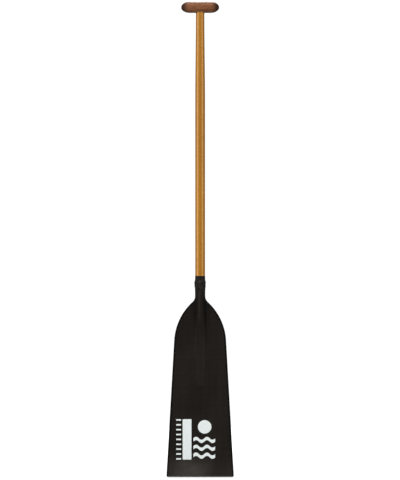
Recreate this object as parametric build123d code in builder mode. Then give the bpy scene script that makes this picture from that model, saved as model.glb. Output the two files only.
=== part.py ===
"""Single blade racing paddle, built the way the real one is glued up, in millimetres.

A laminated wooden shaft carries a shaped wooden T-grip at the top and a moulded carbon blade at the
bottom. The blade is a clamshell: two carbon skins over foam cores and a spine block, closed by an
edge rail on each side and a bar across the tip. The shaft's tenon is glued into a socket tube in the
blade's neck, two wound bands bind the mouth of the neck, and a shrunk sleeve covers the joint.

Frame: +Z runs up the shaft, the origin is the middle of the blade's tip, +X is to the right across
the blade, and the face with the printed marks looks towards -Y.
"""

from build123d import *
import math
import os

# ---- driving dimensions ------------------------------------------------------------------------
OVERALL_LENGTH = 1270.0  # blade tip to the top of the grip: a 50 inch paddle

# Blade outline, right half, in the XZ plane: tip, straight side, shoulder arc, neck fillet.
TIP_HALF_WIDTH = 90.25  # where the side line meets the tip line, before the corner is rounded
TIP_CORNER_RADIUS = 4.0
SHOULDER_CORNER = (66.0, 426.0)  # where the side line and the shoulder line cross
SHOULDER_RADIUS = 151.0
NECK_CORNER_Z = 474.1  # where the shoulder line reaches the side of the neck
NECK_FILLET = 21.0
NECK_RADIUS = 13.75
NECK_BOTTOM_Z = 474.0  # the round neck starts here, a small step proud of the spine
MOUTH_Z = 523.5  # open end of the neck

# Blade plate: both faces are shallow crowns, and the plate thins towards its tip and its edges.
PLATE_TOP_Z = 500.0
PLATE_REACH = 100.0  # the plate is drawn this far to each side, then trimmed to the outline
PLATE_BELOW_TIP = 5.0  # and this far below the tip line
TIP_CENTRE_HALF, TIP_EDGE_HALF = 1.9, 1.5  # half thickness at the tip
TOP_CENTRE_HALF, TOP_EDGE_HALF = 4.3, 2.1  # half thickness at PLATE_TOP_Z
SKIN = 0.95
RAIL_WIDTH = 3.5
RAIL_TOP_Z = 468.0
TIP_BAR_HEIGHT = 5.0
CORE_TOP_Z = 470.0

# Spine: a ridge that leaves the neck as a circle and sinks flat into the plate.
SPINE_TOP_Z, SPINE_END_Z = 480.0, 236.0
SPINE_TOP_RADIUS, SPINE_HALF_WIDTH = 13.55, 17.8
SPINE_SQUARENESS = 3.5  # exponent of its flattened cross-section; 2 is an ellipse
SPINE_WIDENING = 0.5  # share of its length over which it reaches full width
SPINE_DROP = 1.4  # exponent of its fall in height
SPINE_SINK = 0.7  # depth of its lower end under the plate's face
SPINE_STEP = 1.1  # least height over the plate's face, down to where the spine runs out
SPINE_RUN_OUT_LOW, SPINE_RUN_OUT_HIGH = 242.0, 262.0
SPINE_STATIONS = 10
FLANK_BLEND_LOW, FLANK_BLEND_HIGH = 1.6, 7.0  # height over which the flank runs into the plate
FLANK_BLEND_START_Z = 370.0  # the blend grows from here to the neck
SECTION_NEAR, SECTION_STEPS = 24.0, 18  # half width of the finely drawn middle of a section
SECTION_FAR_STEPS = 5
SPINE_BLOCK_HALF_TOP, SPINE_BLOCK_HALF_END, SPINE_BLOCK_END_Z = 17.0, 5.0, 230.0

# Shaft, with a tenon at each end.
SHAFT_RADIUS, SHAFT_TOP_RADIUS, SHAFT_MOUTH_RADIUS = 13.1, 11.3, 12.9
SHAFT_ROUND_START_Z = 545.0  # the shaft is faired down to SHAFT_MOUTH_RADIUS below this
SHAFT_TAPER_START_Z, SHAFT_TAPER_END_Z = 1005.0, 1240.0
CORE_STAVE_HALF = 5.0  # the glue planes lie this far in front of and behind the axis
TENON_RADIUS, TENON_END_RADIUS = 11.7, 8.5
TENON_TAPER_Z, TENON_END_Z = 480.0, 425.0
GLUE = 0.2
SOCKET_WALL = 0.9

# T-grip, shaped along X from full round sections.
GRIP_HALF_LENGTH, GRIP_RADIUS, GRIP_HALF_DEPTH = 51.0, 14.6, 16.0
GRIP_TOP_HALF, GRIP_UNDER_HALF = 32.0, 27.6  # half lengths of its straight top and underside
GRIP_FULLNESS = 2.6  # exponent of its cross-section; 2 is an ellipse
GRIP_FLAT_RADIUS = 3.0  # of the small flat left on each end
GRIP_END_STATIONS, GRIP_SECTION_POINTS = 8, 24
GRIP_SEAT_DEPTH = 8.5  # how far the shaft's full section enters, up from the grip's lowest line
GRIP_TENON_RADIUS, GRIP_TENON_LENGTH = 8.8, 10.0

# Wound bands, glue bead and shrunk sleeve at the mouth of the neck.
BAND_LENGTH = 7.0
BANDS = {"upper": (519.6, 1.3), "lower": (511.6, 0.95)}  # middle height, thickness
BEAD_TOP_Z = 528.0
SLEEVE_PROFILE = (
    (14.0, 497.0),
    (14.1, 504.0),
    (15.1, 511.6),
    (15.0, 515.4),
    (15.5, 519.6),
    (14.15, 525.4),
    (13.6, 530.5),
    (13.5, 537.7),
)

# Printed films on the front face.
FILM = 0.15
STRIPE_CENTRE, STRIPE_SIZE, STRIPE_CORNER_RADIUS = (-35.0, 100.5), (23.5, 108.0), 2.0
DASH_SIZE, DASH_PITCH, DASH_COUNT = (13.0, 4.0), 13.0, 9
DASH_COLUMN_CENTRE = (-57.5, 100.5)
SUN_CENTRE, SUN_RADIUS = (12.0, 134.0), 18.0
WAVE_LEFT_X, WAVE_LENGTH, WAVE_RISE, WAVE_THICKNESS = -18.0, 58.0, 4.0, 9.0
WAVE_HEIGHTS = {"low": 57.0, "middle": 78.0, "high": 99.0}
WAVE_CYCLES, WAVE_STEPS = 2, 12

os.makedirs("parts", exist_ok=True)

# ---- values worked out from them ---------------------------------------------------------------
TOOL_REACH = 40.0  # half depth in Y of the cutting prisms, clear of every piece
TOOL_BELOW_TIP = 14.0  # how far cutting prisms run below the tip line
SIDE_SLOPE = (TIP_HALF_WIDTH - SHOULDER_CORNER[0]) / SHOULDER_CORNER[1]
GRIP_AXIS_Z = OVERALL_LENGTH - GRIP_RADIUS
GRIP_SEAT_Z = GRIP_AXIS_Z - GRIP_RADIUS + GRIP_SEAT_DEPTH
GRIP_TENON_TOP_Z = GRIP_SEAT_Z + GRIP_TENON_LENGTH


def smooth(t):
    """Smooth step from 0 to 1."""
    t = min(max(t, 0.0), 1.0)
    return t * t * (3 - 2 * t)


def plate_halves(z):
    """The plate's half thickness at its centre and at PLATE_REACH."""
    share = z / PLATE_TOP_Z
    centre = TIP_CENTRE_HALF + (TOP_CENTRE_HALF - TIP_CENTRE_HALF) * share
    edge = TIP_EDGE_HALF + (TOP_EDGE_HALF - TIP_EDGE_HALF) * share
    return centre, edge


def spine_size(z):
    """The spine's half width, half height and squareness at a height z."""
    t = (SPINE_TOP_Z - z) / (SPINE_TOP_Z - SPINE_END_Z)
    centre, _ = plate_halves(z)
    widened = smooth(t / SPINE_WIDENING)
    half_width = SPINE_TOP_RADIUS + (SPINE_HALF_WIDTH - SPINE_TOP_RADIUS) * widened
    lowest = centre - SPINE_SINK
    half_height = lowest + (SPINE_TOP_RADIUS - lowest) * (1 - smooth(t)) ** SPINE_DROP
    proud = smooth((z - SPINE_RUN_OUT_LOW) / (SPINE_RUN_OUT_HIGH - SPINE_RUN_OUT_LOW))
    half_height = max(half_height, lowest + (SPINE_SINK + SPINE_STEP) * proud)
    return half_width, half_height, 2 + (SPINE_SQUARENESS - 2) * widened


def flank_blend(z):
    """The size of the hollow between the spine's flank and the plate at a height z."""
    grown = smooth((z - FLANK_BLEND_START_Z) / (NECK_BOTTOM_Z - FLANK_BLEND_START_Z))
    return FLANK_BLEND_LOW + (FLANK_BLEND_HIGH - FLANK_BLEND_LOW) * grown


def face_height(x, z, inset=0.0):
    """The blade face's distance from the middle plane, moved inwards by inset."""
    centre, edge = plate_halves(z)
    flat = centre - (centre - edge) * (x / PLATE_REACH) ** 2 - inset
    half_width, half_height, squareness = spine_size(z)
    across = min(abs(x) / (half_width - inset), 1.0)
    ridge = (half_height - inset) * (1 - across**squareness) ** (1 / squareness)
    hollow = flank_blend(z)
    blend = max(hollow - abs(flat - ridge), 0.0) / hollow
    return max(flat, ridge) + blend**2 * hollow / 4


# ---- shared shapes: closed solids that pieces are cut from or cut with -------------------------
def blade_section(z, inset):
    """A cross-section of the untrimmed blade at a height z."""
    near = [SECTION_NEAR * i / SECTION_STEPS for i in range(SECTION_STEPS + 1)]
    step = (PLATE_REACH - SECTION_NEAR) / SECTION_FAR_STEPS
    far = [SECTION_NEAR + step * (i + 1) for i in range(SECTION_FAR_STEPS)]
    right = [(x, face_height(x, z, inset)) for x in near + far]
    back_points = [(-x, y) for x, y in reversed(right[1:])] + right
    with BuildSketch(Plane.XY.offset(z)) as section:
        with BuildLine():
            back = Spline(back_points)
            front = Spline([(x, -y) for x, y in back_points])
            Line(front @ 0, back @ 0)
            Line(front @ 1, back @ 1)
        make_face()
    return section.sketch


def untrimmed_plate(inset=0.0):
    """The flat lower stretch of the blade, with both faces moved inwards by inset."""
    with BuildPart() as body:
        loft([blade_section(-PLATE_BELOW_TIP, inset), blade_section(SPINE_END_Z, inset)], ruled=True)
    return body.part


def untrimmed_blade(inset=0.0):
    """The whole blade, plate and spine in one, with its faces moved inwards by inset."""
    rise = (SPINE_TOP_Z - SPINE_END_Z) / SPINE_STATIONS
    with BuildPart() as body:
        add(untrimmed_plate(inset))
        loft([blade_section(SPINE_END_Z + rise * i, inset) for i in range(SPINE_STATIONS + 1)])
    return body.part


def outline_prism(inset=0.0, tip=0.0):
    """The blade's outline as a prism in Y, moved inwards by inset, with its tip line at a height tip."""
    with BuildPart() as prism:
        with BuildSketch(Plane.XZ):
            with BuildLine():
                half = FilletPolyline(
                    (0, tip),
                    (TIP_HALF_WIDTH - SIDE_SLOPE * tip, tip),
                    SHOULDER_CORNER,
                    (NECK_RADIUS, NECK_CORNER_Z),
                    (NECK_RADIUS, MOUTH_Z),
                    radius=[TIP_CORNER_RADIUS, SHOULDER_RADIUS, NECK_FILLET],
                )
                mirror(half, about=Plane.YZ)
                Line((NECK_RADIUS, MOUTH_Z), (-NECK_RADIUS, MOUTH_Z))
            make_face()
            if inset:
                offset(amount=-inset)
        extrude(amount=TOOL_REACH, both=True)
    return prism.part


def block(left, right, bottom, top):
    """A square-edged block through the whole thickness, from its limits in X and Z."""
    with BuildPart() as body:
        with BuildSketch(Plane.XZ):
            with Locations(((left + right) / 2, (bottom + top) / 2)):
                Rectangle(right - left, top - bottom)
        extrude(amount=TOOL_REACH, both=True)
    return body.part


def turned(*points):
    """A solid of revolution about Z from (radius, z) corners."""
    with BuildPart() as body:
        with BuildSketch(Plane.XZ):
            with BuildLine():
                Polyline(*points, close=True)
            make_face()
        revolve(axis=Axis.Z)
    return body.part


def lower_tenon(grown):
    """The shaft's lower tenon, grown by a layer on its sides. Glue fills the gap under its end."""
    end = TENON_END_Z - min(grown, GLUE)
    return turned(
        (0, end),
        (TENON_END_RADIUS + grown, end),
        (TENON_RADIUS + grown, TENON_TAPER_Z),
        (TENON_RADIUS + grown, MOUTH_Z),
        (0, MOUTH_Z),
    )


def upper_tenon(grown):
    """The shaft's upper tenon in the grip, grown by a layer on its side and its end."""
    top = GRIP_TENON_TOP_Z + grown
    radius = GRIP_TENON_RADIUS + grown
    return turned((0, GRIP_SEAT_Z), (radius, GRIP_SEAT_Z), (radius, top), (0, top))


def finish(body, label):
    """Names a finished piece and writes it."""
    body.part.label = label
    export_step(body.part, f"parts/{label}.step")


within_rails = outline_prism(RAIL_WIDTH, tip=-TOOL_BELOW_TIP)
above_rails = block(-PLATE_REACH, PLATE_REACH, RAIL_TOP_Z, OVERALL_LENGTH)
above_cores = block(-PLATE_REACH, PLATE_REACH, CORE_TOP_Z, OVERALL_LENGTH)
tip_zone = block(-PLATE_REACH, PLATE_REACH, -TOOL_BELOW_TIP, TIP_BAR_HEIGHT)

with BuildPart() as rail_prism:
    add(outline_prism())
    add(within_rails, mode=Mode.SUBTRACT)
    add(above_rails, mode=Mode.SUBTRACT)

with BuildPart() as skin_prism:
    add(outline_prism())
    add(rail_prism.part, mode=Mode.SUBTRACT)

with BuildPart() as cavity:
    add(untrimmed_blade(SKIN))
    add(within_rails, mode=Mode.INTERSECT)
    add(outline_prism(), mode=Mode.INTERSECT)
    add(above_cores, mode=Mode.SUBTRACT)

with BuildPart() as core_space:
    add(cavity.part)
    add(tip_zone, mode=Mode.SUBTRACT)

with BuildPart() as spine_zone:
    with BuildSketch(Plane.XZ):
        with BuildLine():
            Polyline(
                (-SPINE_BLOCK_HALF_END, SPINE_BLOCK_END_Z),
                (SPINE_BLOCK_HALF_END, SPINE_BLOCK_END_Z),
                (SPINE_BLOCK_HALF_TOP, CORE_TOP_Z),
                (-SPINE_BLOCK_HALF_TOP, CORE_TOP_Z),
                close=True,
            )
        make_face()
    extrude(amount=TOOL_REACH, both=True)

# ---- blade skins -------------------------------------------------------------------------------
with BuildPart() as both_skins:
    add(untrimmed_blade())
    add(skin_prism.part, mode=Mode.INTERSECT)
    with BuildSketch(Plane.XY.offset(NECK_BOTTOM_Z)):
        Circle(NECK_RADIUS)
    extrude(amount=MOUTH_Z - NECK_BOTTOM_Z)
    add(cavity.part, mode=Mode.SUBTRACT)
    add(lower_tenon(GLUE + SOCKET_WALL), mode=Mode.SUBTRACT)

for label, side in {"front_skin": Keep.TOP, "back_skin": Keep.BOTTOM}.items():
    with BuildPart() as skin:
        add(both_skins.part)
        split(bisect_by=Plane.XZ, keep=side)
    finish(skin, label)

# ---- edge rails and tip bar --------------------------------------------------------------------
for label, side in {"right_edge_rail": Keep.TOP, "left_edge_rail": Keep.BOTTOM}.items():
    with BuildPart() as rail:
        add(untrimmed_blade())
        add(rail_prism.part, mode=Mode.INTERSECT)
        split(bisect_by=Plane.YZ, keep=side)
    finish(rail, label)

with BuildPart() as tip_bar:
    add(cavity.part)
    add(tip_zone, mode=Mode.INTERSECT)
finish(tip_bar, "tip_bar")

# ---- cores -------------------------------------------------------------------------------------
with BuildPart() as spine_block:
    add(core_space.part)
    add(spine_zone.part, mode=Mode.INTERSECT)
    add(lower_tenon(GLUE + SOCKET_WALL), mode=Mode.SUBTRACT)
finish(spine_block, "spine_block")

for label, side in {"right_foam_core": Keep.TOP, "left_foam_core": Keep.BOTTOM}.items():
    with BuildPart() as foam_core:
        add(core_space.part)
        add(spine_zone.part, mode=Mode.SUBTRACT)
        split(bisect_by=Plane.YZ, keep=side)
    finish(foam_core, label)

# ---- shaft -------------------------------------------------------------------------------------
with BuildPart() as shaft:
    with BuildSketch(Plane.XZ):
        with BuildLine():
            third = (SHAFT_TAPER_END_Z - SHAFT_TAPER_START_Z) / 3
            lower = Polyline(
                (0, TENON_END_Z),
                (TENON_END_RADIUS, TENON_END_Z),
                (TENON_RADIUS, TENON_TAPER_Z),
                (TENON_RADIUS, MOUTH_Z),
                (SHAFT_MOUTH_RADIUS, MOUTH_Z),
                (SHAFT_RADIUS, SHAFT_ROUND_START_Z),
                (SHAFT_RADIUS, SHAFT_TAPER_START_Z),
            )
            taper = Bezier(
                (SHAFT_RADIUS, SHAFT_TAPER_START_Z),
                (SHAFT_RADIUS, SHAFT_TAPER_START_Z + third),
                (SHAFT_TOP_RADIUS, SHAFT_TAPER_END_Z - third),
                (SHAFT_TOP_RADIUS, SHAFT_TAPER_END_Z),
            )
            upper = Polyline(
                taper @ 1,
                (SHAFT_TOP_RADIUS, GRIP_SEAT_Z),
                (GRIP_TENON_RADIUS, GRIP_SEAT_Z),
                (GRIP_TENON_RADIUS, GRIP_TENON_TOP_Z),
                (0, GRIP_TENON_TOP_Z),
            )
            Line(upper @ 1, lower @ 0)
        make_face()
    revolve(axis=Axis.Z)

front_glue_plane = Plane.XZ.offset(CORE_STAVE_HALF)
back_glue_plane = Plane.XZ.offset(-CORE_STAVE_HALF)

with BuildPart() as shaft_front_stave:
    add(shaft.part)
    split(bisect_by=front_glue_plane, keep=Keep.TOP)
finish(shaft_front_stave, "shaft_front_stave")

with BuildPart() as shaft_core_stave:
    add(shaft.part)
    split(bisect_by=front_glue_plane, keep=Keep.BOTTOM)
    split(bisect_by=back_glue_plane, keep=Keep.TOP)
finish(shaft_core_stave, "shaft_core_stave")

with BuildPart() as shaft_back_stave:
    add(shaft.part)
    split(bisect_by=back_glue_plane, keep=Keep.BOTTOM)
finish(shaft_back_stave, "shaft_back_stave")

# ---- socket in the blade's neck ----------------------------------------------------------------
with BuildPart() as socket_tube:
    add(lower_tenon(GLUE + SOCKET_WALL))
    add(lower_tenon(GLUE), mode=Mode.SUBTRACT)
finish(socket_tube, "socket_tube")

with BuildPart() as socket_glue:
    add(lower_tenon(GLUE))
    add(shaft.part, mode=Mode.SUBTRACT)
finish(socket_glue, "socket_glue")

# ---- grip --------------------------------------------------------------------------------------
def grip_reach(x, straight_half):
    """The grip's reach from its axis on a side that is straight in the middle and elliptical at the ends."""
    over = max(abs(x) - straight_half, 0.0) / (GRIP_HALF_LENGTH - straight_half)
    return GRIP_RADIUS * math.sqrt(1 - over**2)


def grip_section(x):
    """A full round cross-section of the grip at a distance x along it."""
    above, below = grip_reach(x, GRIP_TOP_HALF), grip_reach(x, GRIP_UNDER_HALF)
    depth = (above + below) / 2 / GRIP_RADIUS * GRIP_HALF_DEPTH
    points = []
    for i in range(GRIP_SECTION_POINTS):
        angle = math.tau * i / GRIP_SECTION_POINTS
        across, up = math.cos(angle), math.sin(angle)
        height = above if up > 0 else below
        points.append(
            (
                depth * math.copysign(abs(across) ** (2 / GRIP_FULLNESS), across),
                height * math.copysign(abs(up) ** (2 / GRIP_FULLNESS), up),
            )
        )
    with BuildSketch(Plane(origin=(x, 0, GRIP_AXIS_Z), x_dir=(0, 1, 0), z_dir=(1, 0, 0))) as section:
        with BuildLine():
            Spline(points, periodic=True)
        make_face()
    return section.sketch


flat_x = GRIP_TOP_HALF + (GRIP_HALF_LENGTH - GRIP_TOP_HALF) * math.sqrt(
    1 - (GRIP_FLAT_RADIUS / GRIP_RADIUS) ** 2
)
grip_end_stations = [
    GRIP_UNDER_HALF + (flat_x - GRIP_UNDER_HALF) * math.sin(math.pi / 2 * i / GRIP_END_STATIONS)
    for i in range(GRIP_END_STATIONS + 1)
]
grip_middle_stations = [GRIP_UNDER_HALF * i / 5 for i in range(-4, 5)]  # they keep its middle straight
grip_stations = [-x for x in reversed(grip_end_stations)] + grip_middle_stations + grip_end_stations

with BuildPart() as grip_body:
    loft([grip_section(x) for x in grip_stations])
    add(shaft.part, mode=Mode.SUBTRACT)
    add(upper_tenon(GLUE), mode=Mode.SUBTRACT)
finish(grip_body, "grip_body")

with BuildPart() as grip_glue:
    add(upper_tenon(GLUE))
    add(shaft.part, mode=Mode.SUBTRACT)
finish(grip_glue, "grip_glue")

# ---- bands, bead and sleeve at the mouth of the neck -------------------------------------------
def wound_band(middle, thickness):
    """A band wound round the neck, thickest at its middle."""
    with BuildPart() as body:
        with BuildSketch(Plane.XZ):
            with BuildLine():
                crown = ThreePointArc(
                    (NECK_RADIUS, middle - BAND_LENGTH / 2),
                    (NECK_RADIUS + thickness, middle),
                    (NECK_RADIUS, middle + BAND_LENGTH / 2),
                )
                Line(crown @ 1, crown @ 0)
            make_face()
        revolve(axis=Axis.Z)
    return body


wound_bands = {name: wound_band(*place) for name, place in BANDS.items()}
for name, band in wound_bands.items():
    finish(band, f"{name}_band")

with BuildPart() as mouth_bead:
    add(
        turned(
            (TENON_RADIUS, MOUTH_Z),
            (NECK_RADIUS, MOUTH_Z),
            (SHAFT_MOUTH_RADIUS, BEAD_TOP_Z),
            (TENON_RADIUS, BEAD_TOP_Z),
        )
    )
    add(shaft.part, mode=Mode.SUBTRACT)
finish(mouth_bead, "mouth_bead")

with BuildPart() as shrunk_sleeve:
    with BuildSketch(Plane.XZ):
        with BuildLine():
            outside = Spline(*SLEEVE_PROFILE)
            Polyline(outside @ 1, (0, SLEEVE_PROFILE[-1][1]), (0, SLEEVE_PROFILE[0][1]), outside @ 0)
        make_face()
    revolve(axis=Axis.Z)
    add(
        turned((0, NECK_BOTTOM_Z), (NECK_RADIUS, NECK_BOTTOM_Z), (NECK_RADIUS, MOUTH_Z), (0, MOUTH_Z)),
        mode=Mode.SUBTRACT,
    )
    add(shaft.part, mode=Mode.SUBTRACT)
    add(mouth_bead.part, mode=Mode.SUBTRACT)
    add([band.part for band in wound_bands.values()], mode=Mode.SUBTRACT)
finish(shrunk_sleeve, "shrunk_sleeve")


# ---- printed films on the front face -----------------------------------------------------------
def printed_film(outline, label):
    """A film on the front face of the plate, from its outline in the XZ plane."""
    with BuildPart() as body:
        add(untrimmed_plate(-FILM))
        add(untrimmed_plate(), mode=Mode.SUBTRACT)
        extrude(outline.sketch, amount=TOOL_REACH, mode=Mode.INTERSECT)
    finish(body, label)


with BuildSketch(Plane.XZ) as stripe:
    with Locations(STRIPE_CENTRE):
        Rectangle(*STRIPE_SIZE)
    fillet(stripe.vertices(), radius=STRIPE_CORNER_RADIUS)
printed_film(stripe, "printed_stripe")

for i in range(DASH_COUNT):
    with BuildSketch(Plane.XZ) as dash:
        rise = (i - (DASH_COUNT - 1) / 2) * DASH_PITCH
        with Locations((DASH_COLUMN_CENTRE[0], DASH_COLUMN_CENTRE[1] + rise)):
            Rectangle(*DASH_SIZE)
    printed_film(dash, f"printed_dash_{i + 1}")

with BuildSketch(Plane.XZ) as sun:
    with Locations(SUN_CENTRE):
        Circle(SUN_RADIUS)
printed_film(sun, "printed_sun")

for name, height in WAVE_HEIGHTS.items():
    with BuildSketch(Plane.XZ) as wave:
        with BuildLine():
            crest = []
            for i in range(WAVE_STEPS + 1):
                share = i / WAVE_STEPS
                rise = WAVE_RISE * math.sin(math.tau * WAVE_CYCLES * share)
                crest.append((WAVE_LEFT_X + WAVE_LENGTH * share, height + rise))
            below = Spline([(x, z - WAVE_THICKNESS / 2) for x, z in crest])
            above = Spline([(x, z + WAVE_THICKNESS / 2) for x, z in crest])
            Line(below @ 0, above @ 0)
            Line(below @ 1, above @ 1)
        make_face()
    printed_film(wave, f"printed_wave_{name}")
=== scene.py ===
"""Looks of the single blade paddle: fine meshes, materials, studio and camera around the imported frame.

Shapes are worked out in millimetres, as in the part's source, and become metres when a mesh is made.
A material reads its place on the object in metres, and its sizes too are written in millimetres.
"""
import math

import bmesh
import bpy
import numpy as np
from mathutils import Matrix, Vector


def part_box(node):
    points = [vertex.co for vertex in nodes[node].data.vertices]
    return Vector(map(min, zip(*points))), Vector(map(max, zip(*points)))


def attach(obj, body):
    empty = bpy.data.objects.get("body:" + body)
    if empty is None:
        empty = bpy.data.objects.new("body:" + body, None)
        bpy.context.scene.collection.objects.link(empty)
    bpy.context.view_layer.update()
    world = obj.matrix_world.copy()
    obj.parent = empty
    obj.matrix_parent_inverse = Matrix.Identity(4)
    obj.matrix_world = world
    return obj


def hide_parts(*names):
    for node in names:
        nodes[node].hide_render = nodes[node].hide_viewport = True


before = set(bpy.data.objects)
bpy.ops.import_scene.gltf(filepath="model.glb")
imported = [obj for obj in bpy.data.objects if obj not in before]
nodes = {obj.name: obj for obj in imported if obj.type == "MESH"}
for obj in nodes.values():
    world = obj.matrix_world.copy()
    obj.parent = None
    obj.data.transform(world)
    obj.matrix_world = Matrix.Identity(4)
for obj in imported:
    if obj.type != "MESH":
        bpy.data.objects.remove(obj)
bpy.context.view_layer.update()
MM = 0.001


def box_mm(node):
    """A CAD node's lowest and highest corners, in millimetres."""
    low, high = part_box(node)
    return np.array(low) / MM, np.array(high) / MM


# ---- sizes, in millimetres ---------------------------------------------------------------------
GRIP_LOW, GRIP_HIGH = box_mm("grip_body")
SHAFT_LOW, SHAFT_HIGH = box_mm("shaft_core_stave")
MOUTH_Z = box_mm("front_skin")[1][2]  # the open end of the blade's neck
FULL_HEIGHT = 1270.0

TIP_HALF_WIDTH, TIP_CORNER_RADIUS = 90.25, 4.0
SHOULDER_CORNER, SHOULDER_RADIUS = (66.0, 426.0), 151.0
NECK_CORNER_Z, NECK_FILLET, NECK_RADIUS = 474.1, 21.0, 13.75
PLATE_TOP_Z, PLATE_REACH = 500.0, 100.0
TIP_CENTRE_HALF, TIP_EDGE_HALF = 1.9, 1.5
TOP_CENTRE_HALF, TOP_EDGE_HALF = 4.3, 2.1
PLATE_FADE = (474.0, 488.0)  # heights between which the plate's edges run out into the neck
SKIN, LEAST_SKIN = 0.95, 0.2
RAIL_WIDTH, RAIL_TOP_Z = 3.5, 468.0
RAIL_CLOSING_Z, RAIL_CLOSING = 440.0, 0.93  # where the rail starts to thin out, and how far it gets
EDGE_ROUND = 1.3
TIP_ROUND, TIP_EASING = 0.7, 0.7  # height of the tip's rounding, and its share of that height inwards
SPINE_TOP_Z, SPINE_END_Z = 480.0, 236.0
SPINE_HALF_WIDTH, SPINE_SQUARENESS, SPINE_SINK = 17.8, 3.5, 0.7
SPINE_WIDENING, SPINE_DROP = 0.5, 1.4
SPINE_STEP, SPINE_RUN_OUT = 1.1, (232.0, 252.0)  # least height over the plate, and where that runs out
FLANK_BLEND_LOW, FLANK_BLEND_HIGH, FLANK_BLEND_FROM = 1.2, 7.0, 370.0

SHAFT_RADIUS, SHAFT_TOP_RADIUS, SHAFT_MOUTH_RADIUS = 13.1, 11.3, 12.9
SHAFT_ROUND_START_Z, SHAFT_TAPER_START_Z, SHAFT_TAPER_END_Z = 545.0, 1005.0, 1240.0
CORE_STAVE_HALF = 5.0
TENON_RADIUS, TENON_END_RADIUS, TENON_TAPER_Z = 11.7, 8.5, 480.0
SOCKET_LAYERS = 1.1  # socket tube and glue round the lower tenon

GRIP_RADIUS, GRIP_HALF_DEPTH, GRIP_HALF_LENGTH = 14.6, 16.0, 51.0
GRIP_TOP_FLAT, GRIP_UNDER_FLAT = 32.0, 27.6  # half lengths of the straight top and underside
GRIP_TOP_POWER, GRIP_UNDER_POWER = 1.9, 2.0  # how full the ends are above and below; 2 is an ellipse
GRIP_FULLNESS = 2.6  # exponent of its cross-section; 2 is an ellipse
GRIP_END_EASING, GRIP_END_POWER = 0.12, 24  # rounds off the rim of the small flat on each end
GRIP_SEAT_Z, GRIP_TENON_RADIUS, GLUE = 1249.3, 8.8, 0.2

SLEEVE_PROFILE = (
    (497.0, 14.0), (504.0, 14.1), (511.6, 15.1), (515.4, 15.0),
    (519.6, 15.5), (525.4, 14.15), (530.5, 13.6), (537.7, 13.5),
)
SLEEVE_LIP, SLEEVE_LIP_DROP = 0.6, 0.22  # length and depth of the rounding at its two ends
SLEEVE_TOP_WALL = 0.13  # how far it stands off the shaft inside its upper end
BULGE_Z, BULGE_SPREAD = 516.0, 6.5
BULGE_LEFT, BULGE_TWIST, BULGE_TURN = 0.30, 0.10, 0.4  # extra on its left, uneven part, its turn per mm
WRINKLE, WRINKLE_AT_REST = 0.07, 0.4  # depth on the bulge, and share of it on the plain parts
WRINKLE_WAVES = ((9, 0.35, 0.0), (5, -0.21, 1.3))  # waves round the sleeve, turn per mm, start

ARC_STEPS = 24  # of each rounded corner of the blade's outline
GRIP_STEPS, GRIP_ROUND_STEPS = 96, 96
SLEEVE_ROUND_STEPS = 128
OUTER_STAVE_STEPS, CORE_STAVE_STEPS = 49, 13


# ---- helpers -----------------------------------------------------------------------------------
def smooth(t):
    """Smooth step from 0 to 1."""
    t = np.clip(t, 0.0, 1.0)
    return t * t * (3 - 2 * t)


def rounding(share):
    """Drop of a quarter round, from 1 at its start to 0 at its end, as a share of its radius."""
    return 1 - math.sqrt(1 - (1 - share) ** 2)


def spaced(*stretches):
    """Rising values from (start, end, step) stretches, each end included once."""
    values = []
    for start, end, step in stretches:
        count = max(1, round((end - start) / step))
        values += [start + (end - start) * i / count for i in range(count)]
    return values + [stretches[-1][1]]


def clean_mesh(mesh, merge, sliver):
    """Merges points closer than one distance, drops slivers under another and turns the faces outwards."""
    work = bmesh.new()
    work.from_mesh(mesh)
    bmesh.ops.remove_doubles(work, verts=work.verts, dist=merge)
    bmesh.ops.dissolve_degenerate(work, edges=work.edges, dist=sliver)
    bmesh.ops.recalc_face_normals(work, faces=work.faces)
    work.to_mesh(mesh)
    work.free()


def closed_object(name, verts_mm, faces):
    """An object with a closed mesh."""
    mesh = bpy.data.meshes.new(name)
    mesh.from_pydata([tuple(v) for v in np.asarray(verts_mm, float) * MM], [], faces)
    clean_mesh(mesh, merge=2e-6, sliver=1e-7)
    obj = bpy.data.objects.new(name, mesh)
    bpy.context.collection.objects.link(obj)
    return obj


def piece(name, verts_mm, faces, slot, sharp=40.0):
    """A closed mesh piece that rides on the paddle and stands for the CAD node of the same name."""
    obj = closed_object(name, verts_mm, faces)
    for polygon in obj.data.polygons:
        polygon.use_smooth = True
    obj.data.set_sharp_from_angle(angle=math.radians(sharp))
    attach(obj, "root")
    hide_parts(name)
    return obj


def wall_between(first, second, count, closed=True):
    """Faces between two rows of that many points, whose first points have the numbers given."""
    faces = []
    for c in range(count if closed else count - 1):
        d = (c + 1) % count
        faces.append((first + c, first + d, second + d, second + c))
    return faces


def bridged_rings(rings):
    """Vertices and faces of a tube through closed rings of equal length, capped at both ends."""
    count = len(rings[0])
    verts = [p for ring in rings for p in ring]
    faces = []
    for r in range(len(rings) - 1):
        faces += wall_between(r * count, (r + 1) * count, count)
    faces.append(tuple(reversed(range(count))))
    faces.append(tuple(range((len(rings) - 1) * count, len(rings) * count)))
    return verts, faces


def arc_points(radius, start, end, count, z):
    """Points round the shaft's axis, from one angle to another."""
    angles = np.linspace(start, end, count)
    return [(radius * math.cos(a), radius * math.sin(a), z) for a in angles]


def ring_points(radius, count, z):
    """A closed ring of points round the shaft's axis."""
    return arc_points(radius, 0, math.tau * (count - 1) / count, count, z)


# ---- blade form --------------------------------------------------------------------------------
OUTLINE_CORNERS = [
    (0, 0), (TIP_HALF_WIDTH, 0), SHOULDER_CORNER, (NECK_RADIUS, NECK_CORNER_Z), (NECK_RADIUS, MOUTH_Z),
]
CORNER_RADII = (TIP_CORNER_RADIUS, SHOULDER_RADIUS, NECK_FILLET)


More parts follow.
